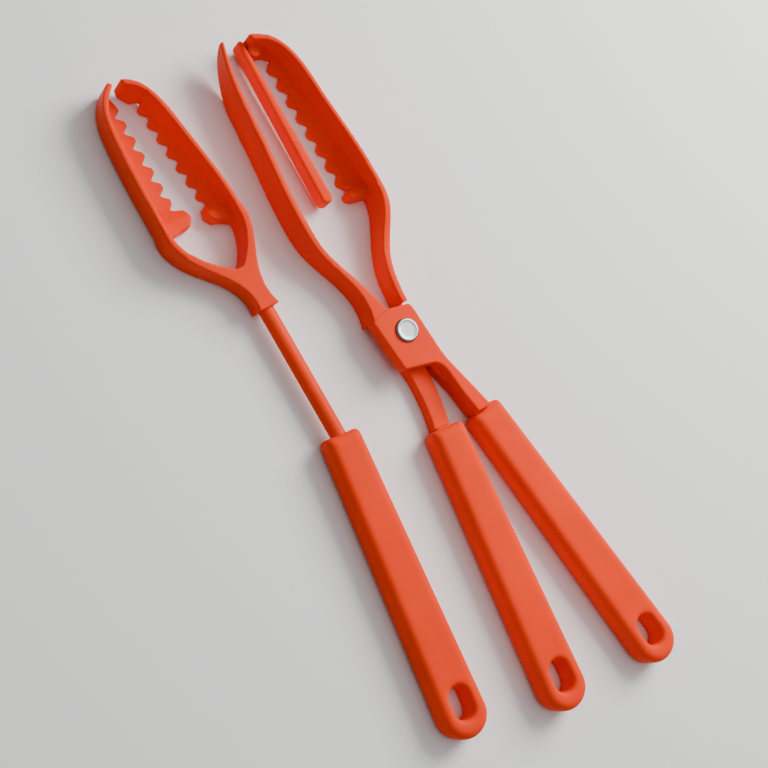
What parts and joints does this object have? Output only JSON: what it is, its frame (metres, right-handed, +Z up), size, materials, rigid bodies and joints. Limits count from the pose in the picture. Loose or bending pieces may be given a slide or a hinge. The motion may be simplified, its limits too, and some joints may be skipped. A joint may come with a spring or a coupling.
{
  "type": "print tongs",
  "caption": "Orange plastic darkroom print tongs: riveted scissor tongs with a toothed jaw and a clamp bar, and a matching scoop-jawed fork on a rod.",
  "frame": {"origin": "on the rivet's axis at the underside that both tools lie on, in the centre of the rivet's flush flange", "axes": "+Y towards the jaws, +X to the right seen from above with the jaws up, +Z up from the surface the tools lie on"},
  "size_m": [0.1004, 0.2555, 0.014],
  "materials": {
    "lever_plastic": "satin moulded",
    "bar_plastic": "satin moulded",
    "fork_plastic": "satin moulded",
    "grip_plastic": "matte soft-touch",
    "rod_vinyl": "smooth dipped vinyl",
    "rivet_steel": "satin face, polished rim",
    "core_steel": "drawn wire",
    "washer_nylon": "natural nylon"
  },
  "bodies": {
    "plate_lever": {"plain_jaw_lever": "lever_plastic", "right_grip": "grip_plastic", "rivet_barrel": "rivet_steel", "rivet_pin": "rivet_steel", "pivot_washer": "washer_nylon"},
    "toothed_lever": {"toothed_jaw_lever": "lever_plastic", "left_grip": "grip_plastic", "bar_pin": "rivet_steel"},
    "bar": {"clamp_bar": "bar_plastic"},
    "fork": {"fork_head": "fork_plastic", "rod_sleeve": "rod_vinyl", "rod_core": "core_steel", "fork_grip": "grip_plastic"}
  },
  "joints": [
    {"name": "pivot", "type": "hinge", "parent": "plate_lever", "child": "toothed_lever", "pos_m": [0, 0, 0.0025], "axis": [0, 0, 1], "range_deg": [-8, 3.5]},
    {"name": "bar_swing", "type": "hinge", "parent": "toothed_lever", "child": "bar", "pos_m": [0.0005, 0.1073, 0.0053], "axis": [0, 0, 1], "range_deg": [-3, 5.5]},
    {"name": "fork_lift", "type": "slide", "parent": "plate_lever", "child": "fork", "axis": [0, 0, 1], "range_m": [0, 0.06]}
  ]
}
